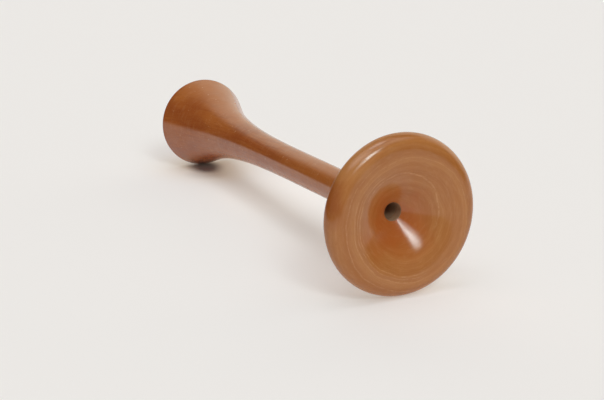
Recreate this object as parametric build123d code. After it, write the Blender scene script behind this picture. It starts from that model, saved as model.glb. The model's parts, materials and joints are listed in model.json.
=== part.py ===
from build123d import *
import math
import os

# Turned wooden fetal stethoscope horn: an ear plate pushed on the end of a stem
# that flares into a listening bell. It lies on its side, touching the floor with the
# ear plate's rim and the bell's lip. All lengths are in millimetres.
#
# Both pieces are turned about one axis. Their outlines are drawn as (radius, depth),
# where depth is the distance from the ear plate's front plane towards the bell, and
# revolved about local +Z. Then they are laid down: the row's +Y runs along the horn
# from plate to bell, +Z is up, the floor is Z = 0 and the origin is under the middle.

# --- driving dimensions -------------------------------------------------------
overall_length = 201.0
bore_r = 3.55

# ear plate, front
plate_r = 31.0
bead_front_r = 5.0           # the rim's rounding towards the ear
bead_back_r = 2.5            # and towards the bell
hole_edge = (bore_r, 10.1)   # where the bore opens in the dish
hole_slope = 36.0            # degrees, of the dish at the hole
dish_cone = (12.0, 4.45)
dish_middle = (16.0, 2.25)
dish_outer = (20.0, 0.75)

# ear plate, back
web_slope = 10.0             # degrees, where the back leaves the rim's rounding
web = (20.0, 9.4)
back_cove = (12.0, 14.2)
hub_neck = (8.9, 20.0)
hub_r = 8.2
hub_end = 27.0               # where the hub stops and the stem's shoulder starts
hub_edge_r = 1.0

# push fit between ear plate and stem
tenon_r = 5.2
tenon_length = 13.0
fit_clearance = 0.05         # radial, and between shoulder and hub
socket_end_gap = 0.3
lead_in = 0.6                # chamfer on the tenon's end and the socket's mouth

# stem and bell, outside
stem_r = 6.6
waist = (6.8, 81.0)
neck = (7.3, 121.0)
flare_start = (9.25, 151.0)
flare_middle = (13.45, 175.0)
flare_slope = 17.5           # degrees, outside, at the lip
lip_r = 1.5
bell_r = 21.0

# bell, inside
throat = (bore_r, 133.0)
cavity_neck = (5.3, 153.0)
cavity_middle = (10.3, 177.0)
cavity_slope = 25.0          # degrees, inside, at the lip

# --- how it lies --------------------------------------------------------------
rim_centre = (plate_r - bead_back_r, bead_front_r)
lip_centre = (bell_r - lip_r, overall_length - lip_r)

# The floor is the line that touches the rim's and the lip's rounding from outside.
run = lip_centre[1] - rim_centre[1]
drop = rim_centre[0] - lip_centre[0]
tilt = math.atan2(drop, run) + math.asin((bead_back_r - lip_r) / math.hypot(run, drop))
plate_height = rim_centre[1] * math.sin(tilt) + rim_centre[0] * math.cos(tilt) + bead_back_r

# The ends along Y, so that the origin is under the middle of the object.
bead_front_centre = (plate_r - bead_front_r, bead_front_r)
y_front = bead_front_centre[1] * math.cos(tilt) - bead_front_centre[0] * math.sin(tilt) - bead_front_r
y_back = lip_centre[1] * math.cos(tilt) + lip_centre[0] * math.sin(tilt) + lip_r
plate_y = -(y_front + y_back) / 2

axis_dir = Vector(0, math.cos(tilt), -math.sin(tilt))
lying = Plane(origin=(0, plate_y, plate_height), x_dir=(1, 0, 0), z_dir=axis_dir)


def turned(draw_outline):
    """Revolve a closed outline about the horn's axis and lay the piece down."""
    with BuildPart() as piece:
        with BuildSketch(Plane.XZ):
            with BuildLine():
                draw_outline()
            make_face()
        revolve(axis=Axis.Z)
    return lying.location * piece.part


def on_circle(centre, radius, degrees):
    """Point of an outline on a circle: 0 degrees is outwards, 90 towards the bell."""
    angle = math.radians(degrees)
    return (centre[0] + radius * math.cos(angle), centre[1] + radius * math.sin(angle))


def direction(degrees):
    """Direction in an outline: 0 degrees is outwards, 90 towards the bell."""
    return on_circle((0, 0), 1, degrees)


def ear_plate_outline():
    socket_floor = hub_end - tenon_length - socket_end_gap
    socket_r = tenon_r + fit_clearance
    crest = (bead_front_centre[0], 0)
    rim = (plate_r, bead_front_r)
    rim_back = on_circle(rim_centre, bead_back_r, 90 - web_slope)
    hub_edge = (hub_r - hub_edge_r, hub_end - hub_edge_r)

    # Back: the socket, the hub's rounded end, an ogee, then the rim's back.
    Polyline(
        hole_edge,
        (bore_r, socket_floor),
        (socket_r, socket_floor),
        (socket_r, hub_end - lead_in),
        (socket_r + lead_in, hub_end),
        (hub_edge[0], hub_end),
    )
    ThreePointArc((hub_edge[0], hub_end), on_circle(hub_edge, hub_edge_r, 45), (hub_r, hub_edge[1]))
    Spline(
        [(hub_r, hub_edge[1]), hub_neck, back_cove, web, rim_back],
        tangents=[direction(-90), direction(-web_slope)],
    )
    ThreePointArc(rim_back, on_circle(rim_centre, bead_back_r, 45), rim)

    # Front: the rim's large rounding, then a dish that steepens towards the hole.
    ThreePointArc(rim, on_circle(bead_front_centre, bead_front_r, -45), crest)
    Spline(
        [crest, dish_outer, dish_middle, dish_cone, hole_edge],
        tangents=[direction(180), direction(180 - hole_slope)],
    )


def horn_outline():
    shoulder = hub_end + fit_clearance
    tenon_end = hub_end - tenon_length
    lip_outside = on_circle(lip_centre, lip_r, -flare_slope)
    lip_inside = on_circle(lip_centre, lip_r, 180 - cavity_slope)

    # Bore, tenon and the shoulder that meets the hub.
    Polyline(
        throat,
        (bore_r, tenon_end),
        (tenon_r - lead_in, tenon_end),
        (tenon_r, tenon_end + lead_in),
        (tenon_r, shoulder),
        (stem_r, shoulder),
    )
    # Stem and flare, the rounded lip, then the cavity back to the bore.
    Spline(
        [(stem_r, shoulder), waist, neck, flare_start, flare_middle, lip_outside],
        tangents=[direction(90), direction(90 - flare_slope)],
    )
    ThreePointArc(lip_outside, on_circle(lip_centre, lip_r, 90), lip_inside)
    Spline(
        [lip_inside, cavity_middle, cavity_neck, throat],
        tangents=[direction(-90 - cavity_slope), direction(-90)],
    )


pieces = {
    "ear_plate": turned(ear_plate_outline),
    "stem_and_bell": turned(horn_outline),
}

os.makedirs("parts", exist_ok=True)
for name, solid in pieces.items():
    export_step(solid, f"parts/{name}.step")
    box = solid.bounding_box()
    print(name, "volume", round(solid.volume), "from", box.min, "to", box.max)

print("tilt", round(math.degrees(tilt), 3), "degrees")
for label, depth in (("plate front", 0), ("hole edge", hole_edge[1]), ("hub end", hub_end),
                     ("throat", throat[1]), ("bell mouth", overall_length)):
    print(label, lying.from_local_coords(Vector(0, 0, depth)))
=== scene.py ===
"""A turned, varnished wooden fetal stethoscope horn, lying on a pale studio floor.

Lengths are metres in the row frame: +Y runs along the horn from the ear plate to the
bell, +Z is up and the floor is Z = 0. Outlines are millimetres, drawn as (radius,
depth), with depth measured along the horn's own axis from the ear plate's front plane.
"""

import json
import math

import bpy
import numpy as np
from mathutils import Euler, Matrix, Vector


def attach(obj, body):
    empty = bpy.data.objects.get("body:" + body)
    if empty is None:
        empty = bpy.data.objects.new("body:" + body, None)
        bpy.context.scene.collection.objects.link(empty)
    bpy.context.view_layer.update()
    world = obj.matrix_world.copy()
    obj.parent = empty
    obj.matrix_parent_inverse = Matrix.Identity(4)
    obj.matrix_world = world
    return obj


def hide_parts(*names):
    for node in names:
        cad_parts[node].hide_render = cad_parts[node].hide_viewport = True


MM = 0.001
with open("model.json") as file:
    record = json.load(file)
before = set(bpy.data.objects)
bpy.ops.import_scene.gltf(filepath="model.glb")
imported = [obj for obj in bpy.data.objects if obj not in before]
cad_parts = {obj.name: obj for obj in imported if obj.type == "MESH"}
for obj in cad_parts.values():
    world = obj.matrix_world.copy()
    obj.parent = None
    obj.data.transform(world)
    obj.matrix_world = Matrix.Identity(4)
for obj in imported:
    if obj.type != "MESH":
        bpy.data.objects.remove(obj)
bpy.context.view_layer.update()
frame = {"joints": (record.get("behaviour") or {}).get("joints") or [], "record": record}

# --- the horn's own axis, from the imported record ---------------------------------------
mounts = {mount["name"]: mount for mount in frame["record"]["mounts"]}
plate_front = Vector(mounts["ear_rim"]["pos_m"])
axis = -Vector(frame["joints"][0]["axis"]).normalized()
tilt = math.atan2(-axis.z, axis.y)
# Local +Y runs along the horn's axis and local +Z points up, across it.
turning_frame = Matrix.Translation(plate_front) @ Matrix.Rotation(-tilt, 4, "X")

# --- camera ----------------------------------------------------------------------------
CAMERA_PLACE = (-0.23927, -0.50797, 0.18912)
LOOKS_DOWN, LOOKS_RIGHT = 17.763, 25.790  # degrees, from level and from +Y
SENSOR_WIDTH, LENS = 36.0, 81.27  # mm

camera_data = bpy.data.cameras.new("camera")
camera_data.sensor_width = SENSOR_WIDTH
camera_data.lens = LENS
camera_data.clip_start = 0.01
camera = bpy.data.objects.new("camera", camera_data)
camera.location = CAMERA_PLACE
camera.rotation_euler = Euler((math.radians(90 - LOOKS_DOWN), 0, math.radians(-LOOKS_RIGHT)))
bpy.context.scene.collection.objects.link(camera)
bpy.context.scene.camera = camera

# --- sizes -------------------------------------------------------------------------------
# Points are (radius, depth). Slopes are degrees away from the plane across the axis on the
# plate, and away from the axis on the bell.
BORE_R = 3.55
WEAR = 0.25  # radius of a worn edge

# Ear plate: its rim, the dish from the rim to the hole, and the back from the hub to the rim.
PLATE_R = 31.0
FRONT_BEAD_R, BACK_BEAD_R = 5.0, 2.5
FRONT_BEAD = (PLATE_R - FRONT_BEAD_R, FRONT_BEAD_R)
BACK_BEAD = (PLATE_R - BACK_BEAD_R, FRONT_BEAD_R)
HOLE_EDGE, HOLE_SLOPE = (BORE_R, 10.1), 36.0
DISH = [(20, 0.75), (16, 2.25), (12, 4.45)]
BACK, BACK_SLOPE = [(8.9, 20), (12, 14.2), (20, 9.4)], 10.0
HUB_R, HUB_END, HUB_EDGE_R = 8.2, 27.0, 1.0

# Push fit of the stem's tenon in the hub's socket.
FIT_GAP = 0.05  # radial, and between shoulder and hub
TENON_R, TENON_END = 5.2, 14.0
SOCKET_R, SOCKET_FLOOR = TENON_R + FIT_GAP, 13.7
SHOULDER = HUB_END + FIT_GAP
LEAD_IN = 0.6

# Stem, flare and bell: outside, lip and the cavity back to the bore.
STEM_R = 6.6
FLARE, FLARE_SLOPE = [(6.8, 81), (7.3, 121), (9.25, 151), (13.45, 175)], 17.5
LIP, LIP_R = (19.5, 199.5), 1.5
CAVITY, CAVITY_SLOPE = [(10.3, 177), (5.3, 153)], 25.0
THROAT = (BORE_R, 133)

# --- outlines ----------------------------------------------------------------------------
SMOOTH_STEP, STRAIGHT_STEP = 0.7, 2.5  # mm between the points of a smooth and a straight run
ARC_STEP = 9  # degrees
SEGMENTS = 192  # round each piece
SHARP_ANGLE = 32  # degrees between faces, from which an edge is drawn sharp
NEAR_EDGE = 0.3  # mm from some edges to the next point, so that the shading turns at the edge
EVEN_FROM = 1.0  # mm from the socket's floor to the first even step along its wall


def on_circle(centre, radius, degrees):
    """Point on a circle: 0 degrees is outwards, 90 towards the bell."""
    angle = math.radians(degrees)
    return (centre[0] + radius * math.cos(angle), centre[1] + radius * math.sin(angle))


def arc(centre, radius, start, end):
    """Points along an arc, in degrees as in on_circle."""
    count = max(4, math.ceil(abs(end - start) / ARC_STEP))
    return [on_circle(centre, radius, a) for a in np.linspace(start, end, count + 1)]


def curve(points, start, end):
    """Points along a smooth curve through points, leaving and arriving in the directions
    start and end: a clamped cubic spline over the chord length."""
    knots = np.array(points, float)
    chords = np.linalg.norm(np.diff(knots, axis=0), axis=1)
    count = len(knots)
    matrix = np.zeros((count, count))
    right = np.zeros((count, 2))
    matrix[0, 0] = matrix[-1, -1] = 1
    right[0] = on_circle((0, 0), 1, start)
    right[-1] = on_circle((0, 0), 1, end)
    for i in range(1, count - 1):
        before, after = chords[i - 1], chords[i]
        matrix[i, i - 1 : i + 2] = after, 2 * (before + after), before
        right[i] = 3 * (
            after / before * (knots[i] - knots[i - 1])
            + before / after * (knots[i + 1] - knots[i])
        )
    slopes = np.linalg.solve(matrix, right)
    found = []
    for i, chord in enumerate(chords):
        for t in np.linspace(0, 1, max(2, math.ceil(chord / SMOOTH_STEP)) + 1)[:-1]:
            found.append(
                (2 * t**3 - 3 * t**2 + 1) * knots[i]
                + (t**3 - 2 * t**2 + t) * chord * slopes[i]
                + (3 * t**2 - 2 * t**3) * knots[i + 1]
                + (t**3 - t**2) * chord * slopes[i + 1]
            )
    return [tuple(p) for p in found] + [points[-1]]


def straight(start, end):
    count = max(1, math.ceil(math.dist(start, end) / STRAIGHT_STEP))
    return [tuple(p) for p in np.linspace(start, end, count + 1)]


def plate_outline():
    # The hole's edge is worn round: a small arc between the bore and the dish.
    turn = math.radians(90 - HOLE_SLOPE)
    set_back = WEAR * math.tan(turn / 2)
    worn = (BORE_R + WEAR, HOLE_EDGE[1] + set_back)
    dish_end = on_circle(HOLE_EDGE, set_back, -HOLE_SLOPE)
    hub_edge = (HUB_R - HUB_EDGE_R, HUB_END - HUB_EDGE_R)
    rim_back = on_circle(BACK_BEAD, BACK_BEAD_R, 90 - BACK_SLOPE)
    crest = (FRONT_BEAD[0], 0)
    return (
        straight((BORE_R, worn[1]), (BORE_R, SOCKET_FLOOR))
        + [(SOCKET_R, SOCKET_FLOOR), (SOCKET_R, SOCKET_FLOOR + NEAR_EDGE)]
        + straight((SOCKET_R, SOCKET_FLOOR + EVEN_FROM), (SOCKET_R, HUB_END - LEAD_IN))
        + [(SOCKET_R + LEAD_IN, HUB_END)]
        + arc(hub_edge, HUB_EDGE_R, 90, 0)
        + curve([(HUB_R, hub_edge[1]), *BACK, rim_back], -90, -BACK_SLOPE)[1:]
        + arc(BACK_BEAD, BACK_BEAD_R, 90 - BACK_SLOPE, 0)[1:]
        + arc(FRONT_BEAD, FRONT_BEAD_R, 0, -90)[1:]
        + curve([crest, *DISH, dish_end], 180, 180 - HOLE_SLOPE)[1:]
        + arc(worn, WEAR, 270 - HOLE_SLOPE, 180)[1:-1]
    )


def horn_outline():
    stem_start = (STEM_R, SHOULDER + WEAR)
    lip_outside = on_circle(LIP, LIP_R, -FLARE_SLOPE)
    lip_inside = on_circle(LIP, LIP_R, 180 - CAVITY_SLOPE)
    return (
        straight(THROAT, (BORE_R, TENON_END))
        + [(TENON_R - LEAD_IN, TENON_END), (TENON_R, TENON_END + LEAD_IN)]
        + straight((TENON_R, TENON_END + 2 * LEAD_IN), (TENON_R, SHOULDER - NEAR_EDGE))
        + [(TENON_R, SHOULDER), (STEM_R - WEAR, SHOULDER)]
        + arc((STEM_R - WEAR, SHOULDER + WEAR), WEAR, -90, 0)[1:]
        + curve([stem_start, *FLARE, lip_outside], 90, 90 - FLARE_SLOPE)[1:]
        + arc(LIP, LIP_R, -FLARE_SLOPE, 180 - CAVITY_SLOPE)[1:]
        + curve([lip_inside, *CAVITY, THROAT], -90 - CAVITY_SLOPE, -90)[1:-1]
    )


def turned(name, outline, body, node, material):
    """Turns an outline into a closed mesh that stands for a CAD node and rides on its body."""
    rings = np.array(outline) * MM
    angles = np.linspace(0, 2 * math.pi, SEGMENTS, endpoint=False)
    radius, depth = rings[:, :1], rings[:, 1:]
    verts = np.stack(
        [radius * np.sin(angles), depth + 0 * angles, radius * np.cos(angles)], axis=-1
    ).reshape(-1, 3)
    place = np.array(turning_frame)
    verts = verts @ place[:3, :3].T + place[:3, 3]
    count = len(rings)
    faces = []
    for i in range(count):
        for j in range(SEGMENTS):
            nxt, side = (i + 1) % count, (j + 1) % SEGMENTS
            faces.append((i * SEGMENTS + j, i * SEGMENTS + side,
                          nxt * SEGMENTS + side, nxt * SEGMENTS + j))
    mesh = bpy.data.meshes.new(name)
    mesh.from_pydata(verts.tolist(), [], faces)
    mesh.polygons.foreach_set("use_smooth", [True] * len(mesh.polygons))
    mesh.set_sharp_from_angle(angle=math.radians(SHARP_ANGLE))
    mesh.materials.append(material)
    piece = bpy.data.objects.new(name, mesh)
    bpy.context.scene.collection.objects.link(piece)
    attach(piece, body)
    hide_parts(node)
    return piece


# --- node helpers --------------------------------------------------------------------------
class Nodes:
    """Builds a node tree: each call adds one node and returns the output asked for."""

    def __init__(self, tree):
        self.tree = tree
        tree.nodes.clear()

    def add(self, kind, inputs=(), output=0, **settings):
        node = self.tree.nodes.new(kind)
        for key, value in settings.items():
            setattr(node, key, value)
        pairs = inputs.items() if isinstance(inputs, dict) else enumerate(inputs)
        for socket, value in pairs:
            if isinstance(value, bpy.types.NodeSocket):
                self.tree.links.new(value, node.inputs[socket])
            elif value is not None:
                node.inputs[socket].default_value = value
        return node.outputs[output] if node.outputs else None

    def math(self, operation, a, b=None, c=None):
        return self.add("ShaderNodeMath", [a, b, c], operation=operation)

    def product(self, a, b):
        return self.math("MULTIPLY", a, b)

    def range(self, value, low, high, to_low=0.0, to_high=1.0):
        """Runs smoothly from to_low, where the value is low, to to_high, where it is high."""
        return self.add("ShaderNodeMapRange",
                        {"Value": value, "From Min": low, "From Max": high,
                         "To Min": to_low, "To Max": to_high}, interpolation_type="SMOOTHSTEP")

    def noise(self, vector, scale, detail=2.0, roughness=0.5):
        return self.add("ShaderNodeTexNoise",
                        {"Vector": vector, "Scale": scale, "Detail": detail,
                         "Roughness": roughness})

    def scaled(self, vector, x, y, z):
        return self.add("ShaderNodeVectorMath", [vector, (x, y, z)], operation="MULTIPLY")

    def vector(self, x, y=0.0, z=0.0):
        return self.add("ShaderNodeCombineXYZ", [x, y, z])

    def part(self, vector, letter):
        return self.add("ShaderNodeSeparateXYZ", [vector], output=letter)

    def bent(self, value, wave, amount):
        """The value, pushed up to half the amount either way by a noise."""
        return self.math("MULTIPLY_ADD", self.math("SUBTRACT", wave, 0.5), amount, value)

    def line(self, value, middle, half_width):
        """1 where the value is at the middle, down to 0 at the half width."""
        away = self.math("ABSOLUTE", self.math("SUBTRACT", value, middle))
        return self.range(away, half_width, 0.0)

    def distance(self, place, right, above):
        """Distance from a line along the horn, this far right of its axis and above it."""
        across = self.math("SUBTRACT", self.part(place, "X"), right)
        upwards = self.math("SUBTRACT", self.part(place, "Z"), above)
        return self.math("SQRT", self.math("MULTIPLY_ADD", across, across,
                                           self.product(upwards, upwards)))

    def mix(self, factor, a, b):
        """Colour a where the factor is 0 and b where it is 1."""
        node = self.tree.nodes.new("ShaderNodeMix")
        node.data_type = "RGBA"
        for socket, value in ((0, factor), (6, a), (7, b)):
            if isinstance(value, bpy.types.NodeSocket):
                self.tree.links.new(value, node.inputs[socket])
            else:
                node.inputs[socket].default_value = value
        return node.outputs[2]


def colour(r, g, b):
    return (r, g, b, 1.0)


# --- wood -----------------------------------------------------------------------------------
# Places and sizes of the patterns are millimetres in the turning frame: X is to the right, Y
# along the horn from the plate's front, and Z up. A noise has about as many waves in a
# millimetre as its scale.
BARE_WOOD = colour(0.46, 0.28, 0.17)

PLATE_BASE = colour(0.40, 0.136, 0.030)
PLATE_LIGHT = colour(0.46, 0.175, 0.047)
PLATE_PALE = colour(0.62, 0.30, 0.12)
PLATE_BROWN = colour(0.35, 0.112, 0.024)
PLATE_RED = colour(0.445, 0.106, 0.018)
PLATE_DARK = colour(0.32, 0.085, 0.018)
PITH = (1.7, -2.2)  # right of the axis and above it, as are the next two
HEART = (-2.0, -4.0)
RING_ROUND_HOLE = (-0.3, 0.4)

HORN_BASE = colour(0.375, 0.092, 0.019)
HORN_LIGHT = colour(0.465, 0.150, 0.032)
HORN_PALE = colour(0.62, 0.33, 0.15)
HORN_DARK = colour(0.285, 0.061, 0.013)
HORN_PITH = (-9.0, -34.0)  # far below the axis, so that the flare cuts the layers into arcs


def growth_rings(n, ring):
    """Broad bands and thin lines that follow the distance from the pith."""
    broad = n.noise(n.vector(ring), 0.24)
    thin = n.noise(n.vector(ring), 1.5, detail=3.0, roughness=0.65)
    body = n.mix(n.range(broad, 0.36, 0.62), PLATE_BASE, PLATE_LIGHT)
    body = n.mix(n.range(thin, 0.52, 0.36, to_high=0.25), body, PLATE_BROWN)
    return n.mix(n.range(thin, 0.56, 0.70, to_high=0.22), body, PLATE_PALE)


def pale_rings(n, place, ring, body):
    """A few rings stand out as broken pale lines: one round the hole, clearest above right of
    it, and others at the lower left."""
    towards_left = n.math("MULTIPLY_ADD", n.part(place, "Z"), -0.4,
                          n.product(n.part(place, "X"), -1.0))
    towards_top = n.math("MULTIPLY_ADD", n.part(place, "X"), 0.5, n.part(place, "Z"))
    round_hole = n.bent(n.distance(place, *RING_ROUND_HOLE), n.noise(place, 0.11), 1.6)
    broken = n.range(n.noise(place, 0.45, detail=3.0, roughness=0.7), 0.36, 0.62, 0.1, 1.0)
    lines = (  # what it follows, its middle and half width there, strength, side where it shows
        (round_hole, 15.8, 0.50, 0.60, towards_top),
        (ring, 20.4, 0.32, 0.60, towards_left),
        (ring, 21.5, 0.28, 0.45, towards_left),
        (ring, 22.9, 0.40, 0.40, towards_left),
        (ring, 26.4, 0.35, 0.45, towards_left),
        (ring, 24.4, 0.40, 0.35, towards_top),
    )
    for distance, middle, half_width, strength, side in lines:
        shown = n.product(n.range(side, -5.0, 9.0), broken)
        pale_line = n.product(n.line(distance, middle, half_width), shown)
        body = n.mix(n.product(pale_line, strength), body, PLATE_PALE)
    return body


def rim_painted_light(n, place, body):
    """Painted shade darkens the rim's left flank, and a painted highlight makes it golden above
    that.
    """
    right = n.bent(n.part(place, "X"), n.noise(place, 0.12), 4.0)
    above = n.bent(n.part(place, "Z"), n.noise(place, 0.16), 4.0)
    painted_shade = n.product(n.range(right, -24.0, -29.0), n.range(above, -3.0, 8.0))
    painted_shade = n.product(painted_shade, n.range(above, 21.0, 16.0))
    painted_light = n.product(n.range(right, -10.0, -18.0), n.range(above, 15.0, 20.0))
    # Painted shade on the rim's left flank, and a painted highlight above it.
    body = n.mix(n.product(painted_shade, 0.9), body, PLATE_DARK)
    return n.mix(n.product(painted_light, 0.25), body, PLATE_PALE)


def plate_colour(n, place):
    """Growth rings round a pith just beside the hole, and redder heartwood towards it."""
    ring = n.bent(n.distance(place, *PITH), n.noise(place, 0.055), 2.4)
    ring = n.bent(ring, n.noise(place, 0.22), 0.6)
    body = pale_rings(n, place, ring, growth_rings(n, ring))
    heart = n.range(n.bent(n.distance(place, *HEART), n.noise(place, 0.10), 12.0), 18.0, 6.0)
    body = n.mix(n.product(heart, 0.85), body, PLATE_RED)
    body = rim_painted_light(n, place, body)
    # Small flecks of the grain, and fine marks of the turning.
    fleck = n.noise(n.scaled(place, 1.0, 0.5, 0.35), 1.6, detail=3.0, roughness=0.6)
    body = n.mix(n.range(fleck, 0.58, 0.74, to_high=0.35), body, PLATE_BROWN)
    turning = n.noise(n.vector(n.product(n.distance(place, 0.0, 0.0), 4.0),
                               n.part(place, "X"), n.part(place, "Z")),
                      0.25, detail=3.0, roughness=0.7)
    body = n.mix(n.range(turning, 0.45, 0.75, to_high=0.16), body, PLATE_PALE)
    body = n.mix(n.range(turning, 0.42, 0.22, to_high=0.22), body, PLATE_BROWN)
    return body, turning


def long_grain(n, place):
    """Layers that run along the stem, and the fibres in them."""
    along = n.part(place, "Y")
    sway = n.noise(n.scaled(place, 1, 0.12, 1), 0.10)
    layer = n.bent(n.distance(place, *HORN_PITH), sway, 5.0)
    broad = n.noise(n.vector(layer, n.product(along, 0.03)), 0.30)
    thin = n.noise(n.vector(layer, n.product(along, 0.05)), 1.4, detail=3.0, roughness=0.6)
    fibre = n.noise(n.scaled(place, 1.0, 0.045, 1.0), 2.6, detail=3.0, roughness=0.65)
    body = n.mix(n.range(broad, 0.38, 0.62, to_high=0.45), HORN_BASE, HORN_LIGHT)
    body = n.mix(n.range(thin, 0.52, 0.38, to_high=0.45), body, HORN_DARK)
    body = n.mix(n.range(fibre, 0.56, 0.74, to_high=0.40), body, HORN_DARK)
    body = n.mix(n.range(fibre, 0.45, 0.30, to_high=0.20), body, HORN_PALE)
    return body, fibre


def horn_colour(n, place):
    """Grain along the stem, which the flare cuts into arcs, with specks and darker patches."""
    along = n.part(place, "Y")
    body, fibre = long_grain(n, place)
    patch = n.noise(n.scaled(place, 1.0, 0.5, 1.0), 0.070)
    body = n.mix(n.range(patch, 0.46, 0.62, to_high=0.55), body, HORN_DARK)
    body = n.mix(n.range(patch, 0.44, 0.32, to_high=0.15), body, HORN_LIGHT)
    # Painted light makes the upper right side more golden, and painted shade makes the lower left
    # darker.
    side = n.math("MULTIPLY_ADD", n.part(place, "X"), 0.6, n.part(place, "Z"))
    painted_light = n.range(n.bent(side, n.noise(place, 0.08), 8.0), 1.0, 17.0)
    body = n.mix(n.product(painted_light, 0.75), body, HORN_LIGHT)
    body = n.mix(n.range(side, -1.0, -17.0, to_high=0.28), body, HORN_DARK)
    # The stem is lighter towards the ear plate.
    body = n.mix(n.range(along, 130.0, 60.0, to_high=0.55), body, HORN_LIGHT)
    speck = n.noise(n.scaled(place, 0.6, 1.2, 0.6), 1.0, detail=1.0)
    body = n.mix(n.range(speck, 0.73, 0.77, to_high=0.6), body, HORN_PALE)
    turning = n.noise(n.vector(n.product(along, 6.0), n.part(place, "X"), n.part(place, "Z")),
                      0.16, detail=3.0, roughness=0.65)
    body = n.mix(n.range(turning, 0.48, 0.75, to_high=0.12), body, HORN_PALE)
    lip = n.range(n.bent(along, n.noise(place, 0.5), 1.2), 197.6, 199.4)
    body = n.mix(n.product(lip, 0.5), body, HORN_DARK)
    return body, fibre


# The varnish runs out where the bore begins. Both are distances from the axis.
BARE_WITHIN, VARNISHED_BEYOND = BORE_R + 0.02, BORE_R + 0.12
VARNISH_ROUGHNESS = 0.14
PLATE_VARNISH_IOR, HORN_VARNISH_IOR = 1.55, 1.62
WOOD_RELIEF, VARNISH_RELIEF = 0.1 * MM, 0.3 * MM  # depth of the marks


def varnished(name, wood_colour, varnish_ior):
    """Wood under clear varnish, bare inside the bore. The marks show in the relief of both."""
    material = bpy.data.materials.new(name)
    material.use_nodes = True
    n = Nodes(material.node_tree)
    place = n.add("ShaderNodeMapping",
                  {"Vector": n.add("ShaderNodeTexCoord", output="Object"),
                   "Location": plate_front, "Rotation": (-tilt, 0, 0),
                   "Scale": (MM, MM, MM)}, vector_type="TEXTURE")
    body, marks = wood_colour(n, place)
    inside = n.range(n.distance(place, 0.0, 0.0), VARNISHED_BEYOND, BARE_WITHIN)
    body = n.mix(inside, body, BARE_WOOD)
    bump = n.add("ShaderNodeBump",
                 {"Strength": 0.15, "Distance": WOOD_RELIEF, "Height": marks})
    uneven = n.math("MULTIPLY_ADD", marks, 0.9, n.noise(place, 0.4))
    coat_bump = n.add("ShaderNodeBump",
                      {"Strength": 0.09, "Distance": VARNISH_RELIEF, "Height": uneven})
    shader = n.add("ShaderNodeBsdfPrincipled",
                   {"Base Color": body,
                    "Roughness": n.range(marks, 0.3, 0.7, 0.50, 0.65),
                    "Specular IOR Level": 0.0,
                    "Coat Weight": n.range(n.noise(place, 0.25, detail=3.0), 0.35, 0.60, 0.85, 1.0),
                    "Coat Roughness": VARNISH_ROUGHNESS,
                    "Coat IOR": varnish_ior,
                    "Normal": bump,
                    "Coat Normal": coat_bump})
    n.add("ShaderNodeOutputMaterial", [shader])
    return material


plate_wood = varnished("varnished_plate_wood", plate_colour, PLATE_VARNISH_IOR)
horn_wood = varnished("varnished_horn_wood", horn_colour, HORN_VARNISH_IOR)

turned("ear_plate_turned", plate_outline(), "plate", "ear_plate", plate_wood)
turned("stem_and_bell_turned", horn_outline(), "horn", "stem_and_bell", horn_wood)

# --- floor ----------------------------------------------------------------------------------
PAPER = colour(0.645, 0.626, 0.641)
# Painted light: the floor glows, which lightens its shadows. Painted shade takes almost all of the
# glow away under the bell's lip, where the glow is tinted brown as a painted bounce from the wood.
# Painted light adds more glow under the stem and beside the plate.
GLOW = colour(1.0, 0.925, 0.81)
PAINTED_BOUNCE = colour(1.0, 0.84, 0.62)
GLOW_LEVEL = 0.275
UNDER_LIP = (-0.002, 0.093, 0.0)
BROWN_WITHIN, PALE_BEYOND = 0.010, 0.036  # from under the lip
PAINTED_SHADE_AND_LIGHT = (  # middle, half size across, along and up, and how much more
    # Painted shade under the bell's lip and just beside it towards the stem; painted light under
    # the stem and beside the plate.
    (UNDER_LIP, (0.011, 0.0145, 1.0), -0.262),
    ((-0.006, 0.081, 0.0), (0.013, 0.012, 1.0), -0.08),
    ((0.008, 0.035, 0.0), (0.035, 0.055, 1.0), 0.06),
    ((0.008, -0.092, 0.0), (0.032, 0.014, 1.0), 0.08),
)
WHOLE_WITHIN = 0.28  # part of the half size within which a change is whole


def glow_level(n, place):
    level = GLOW_LEVEL
    for middle, half_size, more in PAINTED_SHADE_AND_LIGHT:
        away = n.add("ShaderNodeVectorMath", [place, middle], operation="SUBTRACT")
        away = n.add("ShaderNodeVectorMath", [away, half_size], operation="DIVIDE")
        away = n.add("ShaderNodeVectorMath", [away], output="Value", operation="LENGTH")
        level = n.math("ADD", level, n.range(away, 1.0, WHOLE_WITHIN, 0.0, more))
    return n.math("MAXIMUM", level, 0.0)


def floor_material(name):
    material = bpy.data.materials.new(name)
    material.use_nodes = True
    n = Nodes(material.node_tree)
    place = n.add("ShaderNodeTexCoord", output="Object")
    from_lip = n.add("ShaderNodeVectorMath", [place, UNDER_LIP],
                     output="Value", operation="DISTANCE")
    # Painted bounce light: near the bell's lip the floor's glow turns brown, as if tinted by the
    # wood.
    tint = n.mix(n.range(from_lip, BROWN_WITHIN, PALE_BEYOND), PAINTED_BOUNCE, GLOW)
    shader = n.add("ShaderNodeBsdfPrincipled",
                   {"Base Color": PAPER, "Roughness": 1.0, "Specular IOR Level": 0.0,
                    "Emission Color": tint, "Emission Strength": glow_level(n, place)})
    n.add("ShaderNodeOutputMaterial", [shader])
    return material


def flat_sheet(name, left, right, front, back, material):
    mesh = bpy.data.meshes.new(name)
    corners = [(left, front, 0), (right, front, 0), (right, back, 0), (left, back, 0)]
    mesh.from_pydata(corners, [], [(0, 1, 2, 3)])
    mesh.materials.append(material)
    sheet = bpy.data.objects.new(name, mesh)
    bpy.context.scene.collection.objects.link(sheet)
    return sheet


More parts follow.
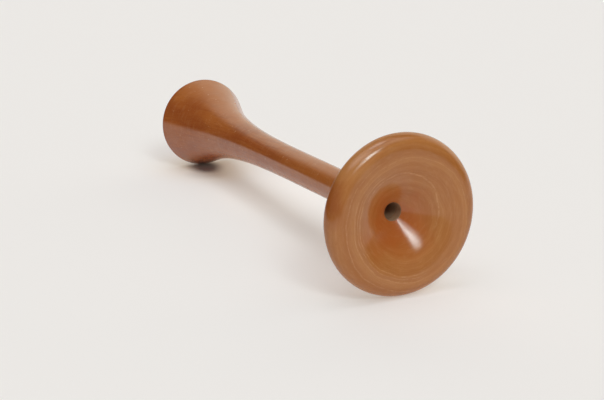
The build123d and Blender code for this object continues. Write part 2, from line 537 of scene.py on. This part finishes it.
# The varnish mirrors a table that ends in front and on the left; the floor goes on past it.
paper = floor_material("pale_floor")
TABLE_FRONT, TABLE_LEFT, FAR = -0.36, -0.24, 14.0
flat_sheet("table", TABLE_LEFT, FAR, TABLE_FRONT, FAR, paper)
for sheet in (flat_sheet("floor_in_front", -FAR, FAR, -FAR, TABLE_FRONT, paper),
              flat_sheet("floor_on_the_left", -FAR, TABLE_LEFT, TABLE_FRONT, FAR, paper)):
    sheet.visible_glossy = False

# --- surroundings -----------------------------------------------------------------------------
world = bpy.data.worlds.new("studio")
bpy.context.scene.world = world
world.use_nodes = True
w = Nodes(world.node_tree)
parts = w.add("ShaderNodeSeparateXYZ", [w.add("ShaderNodeTexCoord", output="Generated")])
east, north, up = (parts.node.outputs[i] for i in range(3))
DEGREES = 180 / math.pi
height = w.product(w.math("ARCSINE", up), DEGREES)
# Degrees clockwise from +Y, seen from above.
bearing = w.product(w.math("ARCTAN2", east, north), DEGREES)

# Light areas of the studio: bearing of the middle, half width, lowest and highest edge,
# softness of the side edges and of the upper and lower edges, all in degrees, and level.
WHITE_AREAS = {
    "front_low": (180, 40, -5, 26, 20, 10, 0.2),
    "front_right": (132, 38, 0, 45, 24, 14, 0.08),
    "right_front_high": (135, 45, 50, 70, 24, 12, 1.05),
    "left_front_high": (-128, 42, 52, 72, 24, 12, 1.95),
    "left_high": (-66, 24, 50, 72, 20, 12, 1.1),
    "left": (-112, 30, 0, 50, 20, 12, 0.2),
    "left_back": (-52, 36, 0, 50, 20, 12, 0.02),
    "back_high": (10, 60, 50, 68, 30, 12, 0.2),
    "top": (0, 400, 66, 100, 10, 12, 0.72),
    "zenith": (0, 400, 80, 100, 10, 10, 2.8),
}
WARM_AREAS = {
    "back": (22, 32, -8, 50, 28, 10, 0.8),
    "right": (75, 24, 0, 44, 24, 14, 1.0),
}
COOL_AREAS = {
    "key": (187, 16, 32, 52, 18, 9, 4.2),
    "key_core": (181, 7.5, 34, 50, 12, 8, 9.1),
}

WHITE = colour(0.985, 0.99, 1.0)
WARM = colour(1.04, 1.0, 0.86)
COOL = colour(0.89, 1.0, 0.99)
BACKDROP = colour(0.838, 0.815, 0.791)  # seen past the floor's end; it lights nothing


def light_area(middle, half_width, low, high, soft_side, soft_edge, level):
    away = w.math("ABSOLUTE", w.math("WRAP", w.math("SUBTRACT", bearing, middle), 180, -180))
    side = w.range(away, half_width + soft_side / 2, half_width - soft_side / 2)
    below = w.range(height, low - soft_edge / 2, low + soft_edge / 2)
    above = w.range(height, high + soft_edge / 2, high - soft_edge / 2)
    return w.product(w.product(side, w.product(below, above)), level)


def light_areas(areas, tint):
    total = None
    for name, area in areas.items():
        lit = light_area(*area)
        lit.node.label = name
        total = lit if total is None else w.math("ADD", total, lit)
    return w.add("ShaderNodeBackground", {"Color": tint, "Strength": total})


room = light_areas(WHITE_AREAS, WHITE)
for areas, tint in ((WARM_AREAS, WARM), (COOL_AREAS, COOL)):
    room = w.add("ShaderNodeAddShader", [room, light_areas(areas, tint)])
seen = w.add("ShaderNodeBackground", {"Color": BACKDROP, "Strength": 1.0})
is_camera = w.add("ShaderNodeLightPath", output="Is Camera Ray")
w.add("ShaderNodeOutputWorld", [w.add("ShaderNodeMixShader", [is_camera, room, seen])])

scene = bpy.context.scene
scene.view_settings.view_transform = "Standard"
scene.view_settings.look = "None"
scene.view_settings.exposure = 0
scene.view_settings.gamma = 1
